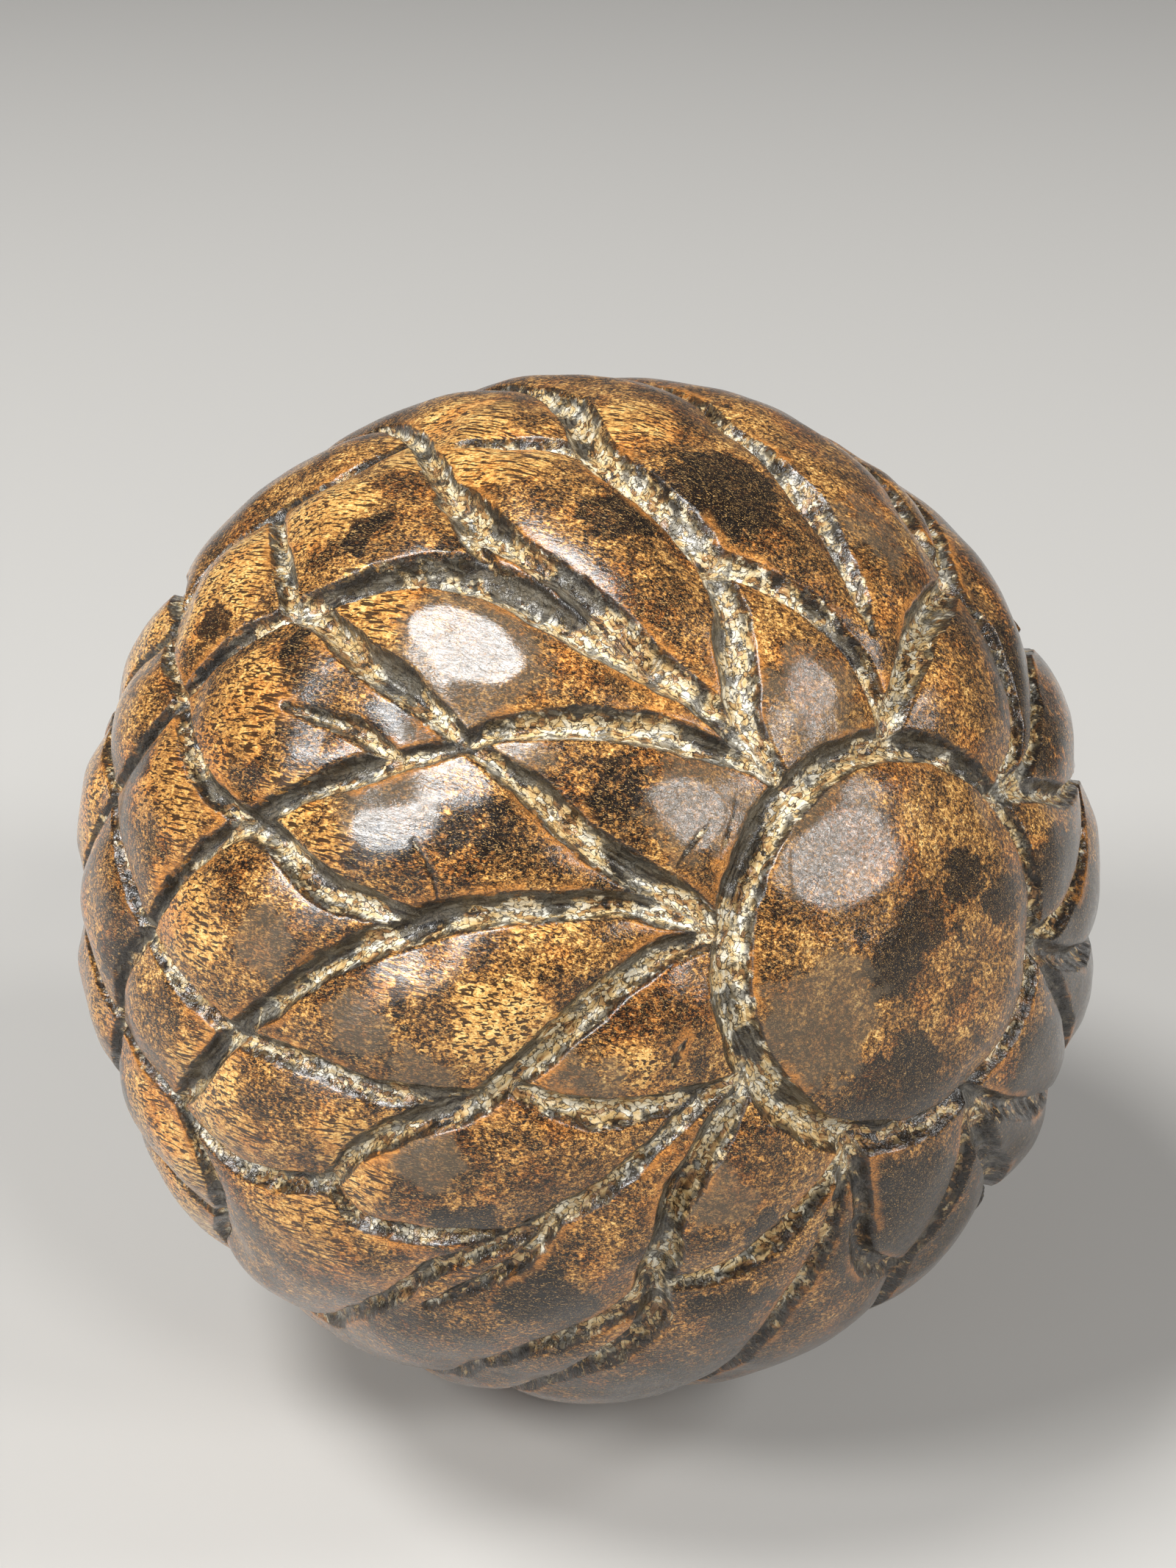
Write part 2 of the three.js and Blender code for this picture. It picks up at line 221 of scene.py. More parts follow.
# This groove lies across the half-turn axis, so it needs no copy on the far side.
WAIST_GROOVE = ((1.8, 2.0, 1.8), (NODE_H, (71, 90), NODE_J))

# The far side repeats the near side, turned half a turn about an axis at this bearing.
FAR_TURN_BEARING = 71

# Patches of the finish: bearing, distance, radius in degrees, strength.
WORN_GOLD = [
    (39, 65, 6, 1.0), (53, 73, 6, 1.0), (60, 80, 9, 0.9), (75, 76, 7, 0.8), (94, 76, 8, 0.8),
    (14, 68, 7, 1.0), (-1, 64, 5, 0.8), (14, 78, 8, 0.9), (30, 80, 7, 0.9), (40, 88, 10, 0.8),
    (66, 58, 4, 0.7), (80, 51, 3, 0.8), (87, 41, 5, 0.8), (102, 60, 5, 0.9), (120, 58, 5, 0.6),
    (108, 40, 5, 0.4), (44, 62, 4, 0.6), (-20, 12, 8, 0.35), (20, 5, 6, 0.25), (0, 34, 4, 0.5),
    (88, 92, 10, 0.4), (110, 70, 8, 0.6), (135, 27, 4, 0.5), (-30, 60, 6, 0.4), (62, 64, 4, 0.8),
    (145, 38, 4, 0.5), (-33, 29, 5, 0.4), (72, 38, 4, 0.5), (97, 28, 5, 0.5), (143, 52, 5, 0.6),
]
# Dark stain. Its broad patches on the right and at the bottom are painted shade.
DARK_STAIN_AND_SHADE = [
    (31, 72, 2.5, 1.0), (45, 84, 2.5, 0.8), (-45, 2.5, 3, 0.9), (-60, 9, 3, 0.7), (-85, 12, 3, 0.8),
    (100, 3.5, 4, 0.9), (160, 14, 6, 0.9), (63, 54, 3.5, 0.8), (60, 45, 5, 0.5), (112, 52, 3, 0.8),
    (145, 31, 3, 0.7), (128, 52, 5, 0.9), (152, 42, 5, 0.7), (-2, 50, 7, 0.8), (12, 52, 4, 0.9),
    (48, 34, 4, 0.5), (-60, 35, 10, 0.6), (-100, 26, 9, 0.9), (-120, 40, 14, 0.9), (82, 50, 2, 0.6),
    (-150, 45, 14, 0.8), (-60, 60, 12, 0.8), (180, 32, 9, 0.9), (50, 56, 3, 0.8), (46, 71, 2, 0.6),
    (-140, 30, 8, 0.8), (160, 60, 10, 0.7), (28, 62, 2, 0.6), (60, 89, 4, 0.6), (85, 66, 3, 0.6),
]
# Polished patches, worn flat and smoother. Their grey colour is partly a painted reflection.
POLISH_AND_GREY_SHEEN = [
    (40, 52, 8, 0.8), (57, 54, 6, 0.8), (77, 65, 4, 0.7), (85, 55, 4, 0.8), (103, 52, 4, 0.9),
    (130, 31, 4, 0.9), (110, 12, 7, 0.8), (25, 14, 7.5, 0.6), (97, 35, 4, 0.6), (42, 26, 6.5, 0.7),
    (6, 25, 6.5, 0.7), (-25, 45, 6, 0.5), (48, 42, 3, 0.6), (93, 50, 4, 0.7),
]

# Painted shade: the lower half and the right side of the ball are darker here, on the petals and in
# the grooves.
LOWER_SHADE = [
    (-178, 33, 12, 1.0), (-150, 38, 14, 1.0), (-118, 36, 14, 1.0), (160, 58, 16, 0.8),
    (-170, 62, 22, 1.0), (-95, 32, 8, 0.6), (128, 56, 8, 0.7), (135, 72, 14, 0.8),
    (-75, 55, 14, 0.5), (-92, 17, 5, 0.6), (112, 42, 6, 0.3), (-10, 47, 7, 0.4),
    (172, 20, 5, 0.8), (-165, 20, 6, 0.8), (105, 52, 12, 0.3), (140, 30, 8, 0.4),
    (120, 75, 12, 0.4), (85, 102, 14, 0.5), (73, 89, 6, 0.6), (-45, 35, 8, 0.4),
]

# Hairline cracks and nicks in the petals: width, then the line.
HAIRLINES = [
    (0.45, ((40.8, 24.3), (49, 25), (57, 26))),
    (0.35, ((37.6, 23.4), (46, 22.6), (54, 22.3))),
    (0.60, ((94, 24.5), (98, 26), (102, 27.5))),
    (0.35, ((140, 28), (147, 26.5))),
    (0.40, ((63, 50), (66, 48), (70, 47))),
]


# ---------------------------------------------------------------- geometry of the carving

def boss_frame():
    azimuth = math.radians(BOSS_AZIMUTH)
    elevation = math.radians(BOSS_ELEVATION)
    out = Vector((
        math.sin(azimuth) * math.cos(elevation),
        -math.cos(azimuth) * math.cos(elevation),
        math.sin(elevation),
    ))
    up = (Vector((0, 0, 1)) - out * out.z).normalized()
    side = out.cross(up)
    return np.array(out), np.array(up), np.array(side)


BOSS_OUT, BOSS_UP, BOSS_SIDE = boss_frame()
# Painted shade: the side of each groove towards this direction, up and to the left, gets a dark
# floor.
SHADE_SIDE_TOWARDS = np.array((-0.35, 0.0, 0.94))


def direction(place):
    """Unit vector of a place given as bearing and distance."""
    turn, lean = (math.radians(angle) for angle in place)
    across = BOSS_UP * math.cos(turn) + BOSS_SIDE * math.sin(turn)
    return BOSS_OUT * math.cos(lean) + across * math.sin(lean)


def turned(line):
    return tuple((bearing - 180, distance) for bearing, distance in line)


def far_side(line):
    return tuple((2 * FAR_TURN_BEARING - bearing, 180 - distance) for bearing, distance in line)


def all_grooves():
    turns = [RING_START + 360 * i / RING_POINTS for i in range(RING_POINTS + 1)]
    ring = tuple((bearing, RING_DISTANCE) for bearing in turns)
    near = [(RING_WIDTHS, ring), *INNER_GROOVES, *OUTER_GROOVES]
    near += [(widths, turned(line)) for widths, line in OUTER_GROOVES]
    far = [(widths, far_side(line)) for widths, line in near]
    widths, waist = WAIST_GROOVE
    end = HAIRLINE_END_MM
    hairlines = [((end, width, end), line) for width, line in HAIRLINES]
    hairlines += [(widths, far_side(line)) for widths, line in hairlines]
    return near + far + [WAIST_GROOVE, (widths, turned(waist))] + hairlines


def stations(line):
    """Smooth curve on the unit ball through the points of a line, as evenly spaced stations."""
    points = np.array([direction(place) for place in line])
    before = 2 * points[0] - points[1]
    after = 2 * points[-1] - points[-2]
    points = np.vstack([before, points, after])
    share = np.linspace(0, 1, STEPS_PER_SPAN, endpoint=False)[:, None]
    spans = []
    for a, b, c, d in zip(points, points[1:], points[2:], points[3:]):
        leave = (c - a) / 2
        arrive = (d - b) / 2
        bend = 2 * b - 2 * c + leave + arrive
        lean = -3 * b + 3 * c - 2 * leave - arrive
        spans.append(((bend * share + lean) * share + leave) * share + b)
    fine = np.vstack([*spans, points[-2:-1]])
    fine /= np.linalg.norm(fine, axis=1, keepdims=True)
    travelled = np.r_[0, np.cumsum(np.linalg.norm(np.diff(fine, axis=0), axis=1))]
    count = max(4, round(travelled[-1] * RADIUS_MM / STATION_MM))
    at = np.linspace(0, travelled[-1], count + 1)
    even = np.stack([np.interp(at, travelled, fine[:, axis]) for axis in range(3)], axis=1)
    return even / np.linalg.norm(even, axis=1, keepdims=True), at * RADIUS_MM


def along_groove(places, line, widths):
    """For each place: distance from the centre line, groove width, length along, side, and how far
    it lies towards the side of painted shade.
    """
    points, lengths = stations(line)
    gap = np.full(len(places), np.inf)
    along = np.zeros(len(places))
    side = np.zeros(len(places))
    shade_side = np.zeros(len(places))
    for start, end, length in zip(points, points[1:], lengths):
        step = end - start
        offset = places - start
        share = np.clip(offset @ step / (step @ step), 0, 1)
        miss = offset - share[:, None] * step
        distance = np.linalg.norm(miss, axis=1) * RADIUS_MM
        nearer = distance < gap
        gap = np.where(nearer, distance, gap)
        reached = length + share * np.linalg.norm(step) * RADIUS_MM
        along = np.where(nearer, reached, along)
        side = np.where(nearer, np.sign(miss @ np.cross(step, start)), side)
        shade_side = np.where(nearer, miss @ SHADE_SIDE_TOWARDS * RADIUS_MM, shade_side)
    width = np.interp(along / lengths[-1], [0, 0.5, 1], widths)
    return gap, width, along, side, shade_side / (width / 2)


def lattice_noise(points, size, seed):
    """Smooth noise from -1 to 1, with features of about that size."""
    cells = 32
    shift = 500.0
    table = np.random.default_rng(seed).uniform(-1, 1, (cells, cells, cells))
    scaled = points / size + shift
    corner = np.floor(scaled).astype(int)
    part = scaled - corner
    part = part * part * (3 - 2 * part)
    total = np.zeros(len(points))
    for number in range(8):
        step = np.array([number & 1, number >> 1 & 1, number >> 2 & 1])
        weight = np.prod(np.where(step, part, 1 - part), axis=1)
        x, y, z = ((corner + step) % cells).T
        total += weight * table[x, y, z]
    return total


def unevenness(points, layers):
    return sum(strength * lattice_noise(points, size, seed) for strength, size, seed in layers)


def carve(places):
    """Depth of the carving at each unit vector, and what the finish needs to know of it."""
    at_mm = places * RADIUS_MM
    waver = unevenness(at_mm, LINE_WAVER)
    deepened = 1 + unevenness(at_mm, DEPTH_UNEVEN)
    widened = 1 + unevenness(at_mm, WIDTH_UNEVEN)
    flat = np.ones(len(places))
    cut = np.zeros(len(places))
    edge = np.full(len(places), OPEN_WOOD_MM)
    shade_side = np.zeros(len(places))
    gouge = np.zeros((len(places), 3))
    for number, (widths, line) in enumerate(all_grooves()):
        centre = np.mean([direction(place) for place in line], axis=0)
        reach = max(np.linalg.norm(direction(place) - centre) for place in line)
        limit = reach + (DOME_REACH_MM + MARGIN_MM) / RADIUS_MM
        near = np.flatnonzero(np.linalg.norm(places - centre, axis=1) < limit)
        gap, width, along, side, to_shade_side = along_groove(places[near], line, widths)
        width = width * widened[near]
        dome = np.maximum(0, 1 - gap / DOME_REACH_MM)
        flat[near] *= 1 - dome**2 * np.clip(width - DOMING_WIDTH_MM, 0, 1)
        across = np.abs(gap + waver[near]) / (width / 2)
        floor = width * GOUGE_DEPTH * (1 - across**GOUGE_ROUNDNESS)
        floor = np.maximum(floor, OUTSIDE_FLOOR_MM)
        depth = LIP_ROUND_MM * np.logaddexp(0, floor / LIP_ROUND_MM)
        cut[near] += (depth * deepened[near]) ** JOIN_POWER
        to_edge = gap + waver[near] - width / 2
        closer = to_edge < edge[near]
        chosen = near[closer]
        edge[chosen] = to_edge[closer]
        shade_side[chosen] = to_shade_side[closer]
        marks = np.full(len(near), MARKS_APART * number)
        gouge[chosen] = np.stack([along, gap * side, marks], 1)[closer]
    cut **= 1 / JOIN_POWER
    inside = np.clip(-edge / INSIDE_LIP_MM, 0, 1)
    drift = unevenness(at_mm, CHATTER_DRIFT)
    chatter = CHATTER_MM * np.sin(gouge[:, 0] * CHATTER_TURN + drift)
    chatter += unevenness(at_mm, FLOOR_CRUMBLE)
    facets = unevenness(at_mm, FACETS)
    depth = DOME_MM * (1 - flat) + cut + inside * chatter + (1 - inside) * facets + SKIN_MM
    return worn_flat(places, depth), edge, gouge, shade_side


def both_sides(spot):
    """Directions of a spot and of its repeat on the far side."""
    return direction(spot), direction(far_side([spot])[0])


def worn_flat(places, depth):
    """The polished patches, planed off the domes."""
    ripple = unevenness(places * RADIUS_MM, POLISH_RIPPLE)
    for bearing, distance, radius, _ in POLISH_AND_GREY_SHEEN:
        plane = RADIUS_MM * math.cos(math.radians(radius * FLAT_SHARE)) - SKIN_MM
        for centre in both_sides((bearing, distance)):
            toward = np.maximum(places @ centre, 0.5)
            planed = RADIUS_MM - plane / toward + ripple
            depth = FLAT_BLEND_MM * np.logaddexp(depth / FLAT_BLEND_MM, planed / FLAT_BLEND_MM)
    return depth


def patches(places, spots, seed):
    """How much of a finish each place has, from soft patches with ragged edges."""
    moved = places.copy()
    for axis in range(3):
        layers = [(push, size, seed + step + axis) for push, size, step in PATCH_EDGE]
        moved[:, axis] += unevenness(places * RADIUS_MM, layers) / RADIUS_MM
    moved /= np.linalg.norm(moved, axis=1, keepdims=True)
    share = np.zeros(len(places))
    for bearing, distance, radius, strength in spots:
        for centre in both_sides((bearing, distance)):
            apart = np.degrees(np.arccos(np.clip(moved @ centre, -1, 1)))
            share = np.maximum(share, strength * np.exp(-((apart / radius) ** 4)))
    return share


def carved_ball(material):
    shape = bmesh.new()
    bmesh.ops.create_icosphere(shape, subdivisions=SUBDIVISIONS + 1, radius=1)
    mesh = bpy.data.meshes.new("carved_wood")
    shape.to_mesh(mesh)
    shape.free()
    places = np.empty(len(mesh.vertices) * 3)
    mesh.vertices.foreach_get("co", places)
    places = places.reshape(-1, 3)
    places /= np.linalg.norm(places, axis=1, keepdims=True)
    depth, edge, gouge, shade_side = carve(places)
    middle = np.array((cad_low + cad_high) / 2)
    surface = places * ((RADIUS_MM - depth) * MM)[:, None] + middle
    mesh.vertices.foreach_set("co", surface.ravel())
    values = {"edge": edge, "shade_side": shade_side}
    finishes = {"worn": WORN_GOLD, "stain_and_shade": DARK_STAIN_AND_SHADE, "polish_and_sheen": POLISH_AND_GREY_SHEEN, "lower_shade": LOWER_SHADE}
    for number, (name, spots) in enumerate(finishes.items(), 1):
        values[name] = patches(places, spots, number * SEEDS_PER_PATCH)
    for name, value in values.items():
        attribute = mesh.attributes.new(name, "FLOAT", "POINT")
        attribute.data.foreach_set("value", value.astype(np.float32))
    attribute = mesh.attributes.new("gouge", "FLOAT_VECTOR", "POINT")
    attribute.data.foreach_set("vector", gouge.astype(np.float32).ravel())
    mesh.shade_smooth()
    mesh.materials.append(material)
    ball = bpy.data.objects.new("carved_wooden_ball", mesh)
    bpy.context.scene.collection.objects.link(ball)
    return ball


# ---------------------------------------------------------------- materials

def colour(red, green, blue):
    """Linear colour from screen values of 0 to 255."""
    parts = [v / 255 for v in (red, green, blue)]
    return (*[p / 12.92 if p <= 0.04045 else ((p + 0.055) / 1.055) ** 2.4 for p in parts], 1)


class Graph:
    """Short ways to add nodes to a material. All methods but add return an output socket."""

    def __init__(self, name):
        self.material = bpy.data.materials.new(name)
        self.material.use_nodes = True
        self.nodes = self.material.node_tree.nodes
        self.links = self.material.node_tree.links
        self.nodes.clear()

    def add(self, kind, inputs, **settings):
        made = self.nodes.new(kind)
        for name, value in settings.items():
            setattr(made, name, value)
        for key, value in inputs.items():
            if isinstance(value, bpy.types.NodeSocket):
                self.links.new(value, made.inputs[key])
            else:
                made.inputs[key].default_value = value
        return made

    def attribute(self, name, output="Fac"):
        return self.add("ShaderNodeAttribute", {}, attribute_name=name).outputs[output]

    def math(self, operation, *values):
        inputs = dict(enumerate(values))
        return self.add("ShaderNodeMath", inputs, operation=operation).outputs[0]

    def span(self, value, low, high, start=0.0, end=1.0):
        inputs = {"Value": value, "From Min": low, "From Max": high, "To Min": start, "To Max": end}
        kind = "ShaderNodeMapRange"
        return self.add(kind, inputs, interpolation_type="SMOOTHSTEP").outputs[0]

    def noise(self, vector, scale, detail=2.0, roughness=0.5, distortion=0.0):
        inputs = {
            "Vector": vector,
            "Scale": scale,
            "Detail": detail,
            "Roughness": roughness,
            "Distortion": distortion,
        }
        return self.add("ShaderNodeTexNoise", inputs).outputs[0]

    def mix(self, share, first, second, blend="MIX"):
        made = self.add("ShaderNodeMix", {0: share}, data_type="RGBA", blend_type=blend)
        for number, value in ((6, first), (7, second)):
            if isinstance(value, bpy.types.NodeSocket):
                self.links.new(value, made.inputs[number])
            else:
                made.inputs[number].default_value = value
        return made.outputs[2]

    def total(self, start, *parts):
        """Start plus every value times its share."""
        for value, share in parts:
            start = self.math("MULTIPLY_ADD", value, share, start)
        return start

    def cover(self, under, share, strength, over):
        return self.mix(self.math("MULTIPLY", share, strength), under, over)

    def ramp(self, value, *stops):
        made = self.add("ShaderNodeValToRGB", {0: value})
        elements = made.color_ramp.elements
        while len(elements) < len(stops):
            elements.new(0.5)
        for element, (position, shade) in zip(elements, stops):
            element.position = position
            element.color = shade
        return made.outputs[0]


GRAIN_ROTATION = (0, math.radians(-4), math.radians(-30))
EVEN_TONE = 0.62
NORMAL_BUMP = 1.0
POLISH_BUMP = 0.28


class StainedWood(Graph):
    """Finish of the ball, in layers. Sizes are in millimetres."""

    def __init__(self):
        super().__init__("stained_wood")
        self.place = self.add("ShaderNodeTexCoord", {}).outputs["Object"]
        self.lower_shade = self.attribute("lower_shade")
        self.cloud = self.span(self.blots(1.2, 3, 0.6, 0.5), 0.35, 0.65)
        self.fibre = self.span(self.strands(0.8, 0.26, 2, 0.6, 2.2), 0.38, 0.62)
        self.speck = self.span(self.blots(0.32, 2), 0.38, 0.62)
        self.ragged = self.blots(0.9, 3)
        self.worn = self.torn("worn", 0.25, 0.65)
        self.polish_and_sheen = self.torn("polish_and_sheen", 0.20, 0.60)
        self.edge = self.attribute("edge")
        self.torn_edge = self.total(self.edge, (self.math("SUBTRACT", self.ragged, 0.5), 1.1))
        self.groove = self.span(self.torn_edge, 0.0, -0.2)

        # Open pores: short dark dashes along the grain, dots where the grain comes out.
        dash = self.span(self.strands(1.6, 0.24, 1, 0.5, 0.7), 0.53, 0.57)
        self.dash = self.math("MULTIPLY", dash, self.span(self.worn, 0.1, 0.7, 0.25, 0.95))

    def blots(self, size, detail, roughness=0.6, distortion=0.0):
        return self.noise(self.place, 1 / (size * MM), detail, roughness, distortion)

    def strands(self, length, width, detail, roughness, distortion):
        """Noise drawn out along the grain."""
        scale = (length * MM, width * MM, width * MM)
        inputs = {"Vector": self.place, "Rotation": GRAIN_ROTATION, "Scale": scale}
        along = self.add("ShaderNodeMapping", inputs, vector_type="TEXTURE").outputs[0]
        return self.noise(along, 1.0, detail, roughness, distortion)

    def torn(self, name, low, high):
        """Patches of an attribute, with torn edges."""
        fray = self.math("MULTIPLY_ADD", self.ragged, 1.2, -0.6)
        return self.span(self.math("ADD", self.attribute(name), fray), low, high)

    def petals(self):
        """Stain from dark to worn gold with painted shade, bright fibres, pores, grey polish whose
        grey is partly a painted reflection, and worn rims.
        """
        broad = self.span(self.blots(5, 2), 0.36, 0.64)
        layers = ((broad, 0.24), (self.cloud, 0.20), (self.fibre, 0.40), (self.speck, 0.34))
        grain = self.total(0.0, *layers)
        to_even = self.math("SUBTRACT", EVEN_TONE, grain)
        grain = self.total(grain, (to_even, self.math("MULTIPLY", self.worn, 0.5)))
        # Darker with the stain, and with painted shade on the lower and right side.
        stain_and_shade = self.torn("stain_and_shade", 0.30, 0.54)
        layers = ((self.worn, 0.30), (stain_and_shade, -0.42), (self.lower_shade, -0.22), (grain, 1.0))
        shade = self.ramp(
            self.total(-0.22, *layers),
            (0.05, colour(18, 13, 9)),
            (0.22, colour(48, 33, 20)),
            (0.40, colour(102, 68, 35)),
            (0.56, colour(160, 110, 56)),
            (0.72, colour(214, 160, 84)),
            (0.90, colour(248, 210, 136)),
        )
        warm = self.math("MULTIPLY", self.span(self.blots(4.5, 2), 0.46, 0.66), 0.55)
        shade = self.mix(warm, shade, colour(255, 206, 148), "MULTIPLY")

        # Short bright fibres where the stain has rubbed off the grain.
        fleck = self.span(self.strands(1.0, 0.2, 1, 0.5, 3.0), 0.60, 0.68)
        shade = self.cover(shade, fleck, 0.6, colour(224, 178, 112))
        shade = self.mix(self.dash, shade, colour(50, 31, 15))

        # Grey, smooth polish that has filled the pores; its grey is partly a painted reflection.
        shade = self.cover(shade, self.polish_and_sheen, 0.55, colour(104, 90, 72))

        # Orange rim where the edges of the petals are worn to bare wood.
        rubbed = self.span(self.blots(6, 2), 0.50, 0.62)
        rim = self.math("MULTIPLY", self.span(self.torn_edge, 0.9, 0.1), rubbed)
        rim = self.math("MULTIPLY", rim, self.span(self.fibre, 0.0, 0.7, 0.3, 1.0))
        return self.cover(shade, rim, 0.65, colour(204, 134, 62))

    def along_gouge(self, along, across, bent):
        """Coordinates that follow each groove, bent this much by noise."""
        gouge = self.attribute("gouge", "Vector")
        size = (along, across, 1)
        scaled = self.add("ShaderNodeVectorMath", {0: gouge, 1: size}, operation="MULTIPLY")
        inputs = {"Vector": self.place, "Scale": 1 / MM, "Detail": 3}
        bend = self.add("ShaderNodeTexNoise", inputs).outputs["Color"]
        inputs = {0: bend, 1: (bent, bent, bent), 2: scaled.outputs[0]}
        return self.add("ShaderNodeVectorMath", inputs, operation="MULTIPLY_ADD").outputs[0]

    def cells(self, feature, output):
        inputs = {"Vector": self.along_gouge(1.2, 2.4, 3.2), "Scale": 1.0}
        return self.add("ShaderNodeTexVoronoi", inputs, feature=feature).outputs[output]

    def cracks(self):
        """Cracks of the lacquer in the grooves."""
        thin = self.total(self.cells("DISTANCE_TO_EDGE", "Distance"), (self.speck, 0.06))
        return self.span(thin, 0.12, 0.03)

    def gouged_floor(self, crack):
        """Bare cream wood under crackled lacquer, with painted glints; smooth and dark with painted
        shade on one side of each groove, and with soot whose grey streaks are a painted sheen.
        """
        flake = self.add("ShaderNodeSeparateColor", {0: self.cells("F1", "Color")}).outputs[0]
        streak = self.noise(self.along_gouge(0.4, 3.4, 0.8), 1.0, 2, 0.6)
        streak = self.span(streak, 0.36, 0.64)
        patchy = self.blots(2.6, 3, 0.65)
        # Paleness of the floor: cream where the wood is bare, less on the painted-shade lower half;
        # the near-white top is a painted glint.
        bare_and_glint = self.total(patchy, (flake, 0.35), (self.lower_shade, -0.25), (streak, 0.14))
        floor = self.ramp(
            bare_and_glint,
            (0.46, colour(58, 50, 40)),
            (0.57, colour(160, 116, 70)),
            (0.69, colour(222, 188, 128)),
            (0.82, colour(232, 214, 176)),
            (0.98, colour(250, 244, 226)),
        )
        floor = self.cover(floor, crack, 0.85, colour(30, 27, 24))
        # Painted shade: a dark floor on the upper-left side of each groove, more on the lower half
        # of the ball.
        shade_side = self.attribute("shade_side")
        spread = self.blots(4.0, 2, 0.5)
        painted_shade = self.total(shade_side, (self.ragged, 1.0), (spread, 3.4), (self.lower_shade, 0.5))
        painted_shade = self.span(painted_shade, 2.32, 2.52)
        # Random soot patches and the painted shade get a dark floor, whose lighter grey streaks are
        # a painted sheen.
        sooty = self.math("MULTIPLY", self.span(patchy, 0.56, 0.62), 0.8)
        soot_shade_and_sheen = self.mix(streak, colour(30, 27, 24), colour(104, 98, 86))
        return self.cover(floor, self.math("MAXIMUM", painted_shade, sooty), 0.94, soot_shade_and_sheen)

    def with_lip_shade(self, shade):
        """Thin dark line under the lips: painted shade, partly stain gathered there."""
        inner = self.span(self.edge, -0.55, -0.25)
        outer = self.span(self.edge, 0.10, 0.0)
        lip = self.math("MULTIPLY", inner, outer)
        lip_shade = self.math("MULTIPLY", lip, self.span(self.cloud, 0.0, 0.5))
        return self.cover(shade, lip_shade, 0.85, colour(30, 24, 19))

    def relief(self, crack):
        """Relief finer than the mesh, in millimetres."""
        crease = self.strands(1.4, 0.5, 3, 0.65, 1.5)
        crumbled = self.math("MULTIPLY", self.blots(0.5, 3, 0.7), self.groove)
        cracked = self.math("MULTIPLY", crack, self.groove)
        wood = ((crease, 0.10), (self.fibre, 0.010), (self.speck, 0.006), (self.dash, -0.04))
        return self.total(0.0, *wood, (crumbled, 0.25), (cracked, -0.10))


def stained_wood():
    wood = StainedWood()
    crack = wood.cracks()
    shade = wood.mix(wood.groove, wood.petals(), wood.gouged_floor(crack))
    relief = {"Distance": MM, "Height": wood.relief(crack)}
    bump = wood.add("ShaderNodeBump", {"Strength": NORMAL_BUMP, **relief})
    polish_bump = wood.add("ShaderNodeBump", {"Strength": POLISH_BUMP, **relief})
    surface = wood.add(
        "ShaderNodeBsdfPrincipled",
        {
            "Base Color": wood.with_lip_shade(shade),
            "Roughness": wood.total(0.26, (wood.cloud, 0.14), (wood.polish_and_sheen, -0.10)),
            "Normal": bump.outputs[0],
            "Coat Normal": polish_bump.outputs[0],
            "Coat Weight": 1.0,
            "Coat Roughness": 0.18,
            "Coat IOR": 1.45,
            "Specular IOR Level": 0.1,
        },
    )
    wood.add("ShaderNodeOutputMaterial", {"Surface": surface.outputs[0]})
    return wood.material


def floor_material():
    graph = Graph("pale_floor")
    surface = graph.add(
        "ShaderNodeBsdfPrincipled",
        {"Base Color": colour(180, 178, 174), "Roughness": 0.8},
    )
    graph.add("ShaderNodeOutputMaterial", {"Surface": surface.outputs[0]})
    return graph.material


# ---------------------------------------------------------------- stage, lights and camera

CAMERA_DISTANCE = 0.21526
CAMERA_ELEVATION = 30
CAMERA_PITCH = 27.557
LENS = 54.0
SENSOR_WIDTH = 36
LIGHT_DISTANCE = 1.5
FLOOR_RADIUS = 3.0
WORLD_STRENGTH = 0.2


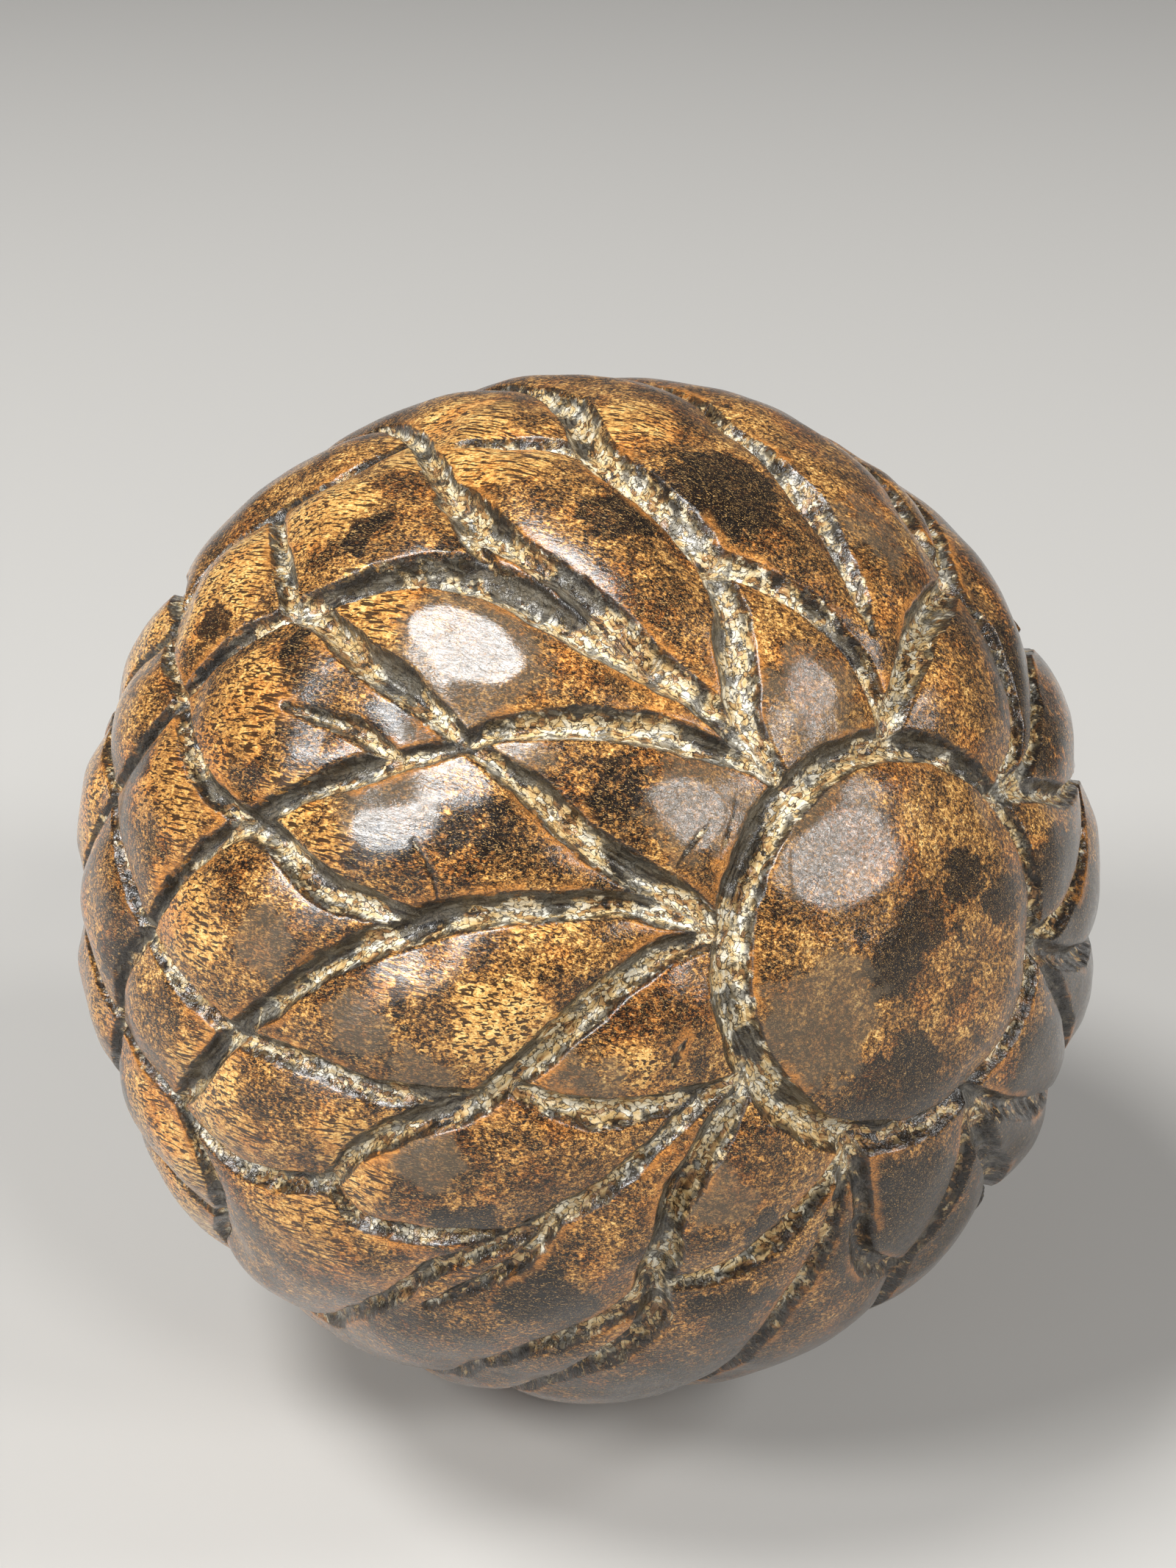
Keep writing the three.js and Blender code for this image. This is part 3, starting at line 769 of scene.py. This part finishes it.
def add_floor(height):
    place = (0, 0, height)
    outline = {"vertices": 128, "radius": FLOOR_RADIUS, "fill_type": "NGON"}
    bpy.ops.mesh.primitive_circle_add(location=place, **outline)
    floor = bpy.context.object
    floor.name = "floor"
    floor.data.materials.append(floor_material())


def add_light(name, azimuth, elevation, width, strength):
    """A round softbox that looks this many degrees wide from the ball."""
    turn, lift = math.radians(azimuth), math.radians(elevation)
    toward = Vector((
        math.sin(turn) * math.cos(lift),
        -math.cos(turn) * math.cos(lift),
        math.sin(lift),
    ))
    lamp = bpy.data.lights.new(name, "AREA")
    lamp.shape = "DISK"
    lamp.size = 2 * LIGHT_DISTANCE * math.tan(math.radians(width / 2))
    lamp.energy = strength * math.pi * LIGHT_DISTANCE**2
    light = bpy.data.objects.new(name, lamp)
    light.location = toward * LIGHT_DISTANCE
    light.rotation_mode = "QUATERNION"
    light.rotation_quaternion = (-toward).to_track_quat("-Z", "Y")
    bpy.context.scene.collection.objects.link(light)


def add_lights():
    add_light("key_high", -71, 64, 17, 2.5)
    add_light("key_left", -57, 40, 14, 1.9)
    add_light("left_low", -50, 14, 20, 0.4)
    add_light("front_right", 33, 42, 12, 1.0)
    add_light("right_high", 80, 44, 10, 0.65)
    add_light("right_low", 62, 26, 9, 0.85)
    world = bpy.data.worlds.new("studio")
    world.use_nodes = True
    background = world.node_tree.nodes["Background"]
    background.inputs["Color"].default_value = colour(200, 200, 202)
    background.inputs["Strength"].default_value = WORLD_STRENGTH
    bpy.context.scene.world = world
    bpy.context.scene.view_settings.view_transform = "Standard"


def add_camera():
    elevation = math.radians(CAMERA_ELEVATION)
    lens = bpy.data.cameras.new("camera")
    lens.lens = LENS
    lens.sensor_width = SENSOR_WIDTH
    lens.clip_start = 0.01
    camera = bpy.data.objects.new("camera", lens)
    camera.location = (
        0,
        -CAMERA_DISTANCE * math.cos(elevation),
        CAMERA_DISTANCE * math.sin(elevation),
    )
    camera.rotation_euler = (math.radians(90 - CAMERA_PITCH), 0, 0)
    bpy.context.scene.collection.objects.link(camera)
    bpy.context.scene.camera = camera


ball = carved_ball(stained_wood())
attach(ball, "root")
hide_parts("carved_ball")

add_floor(cad_low.z)
add_lights()
add_camera()
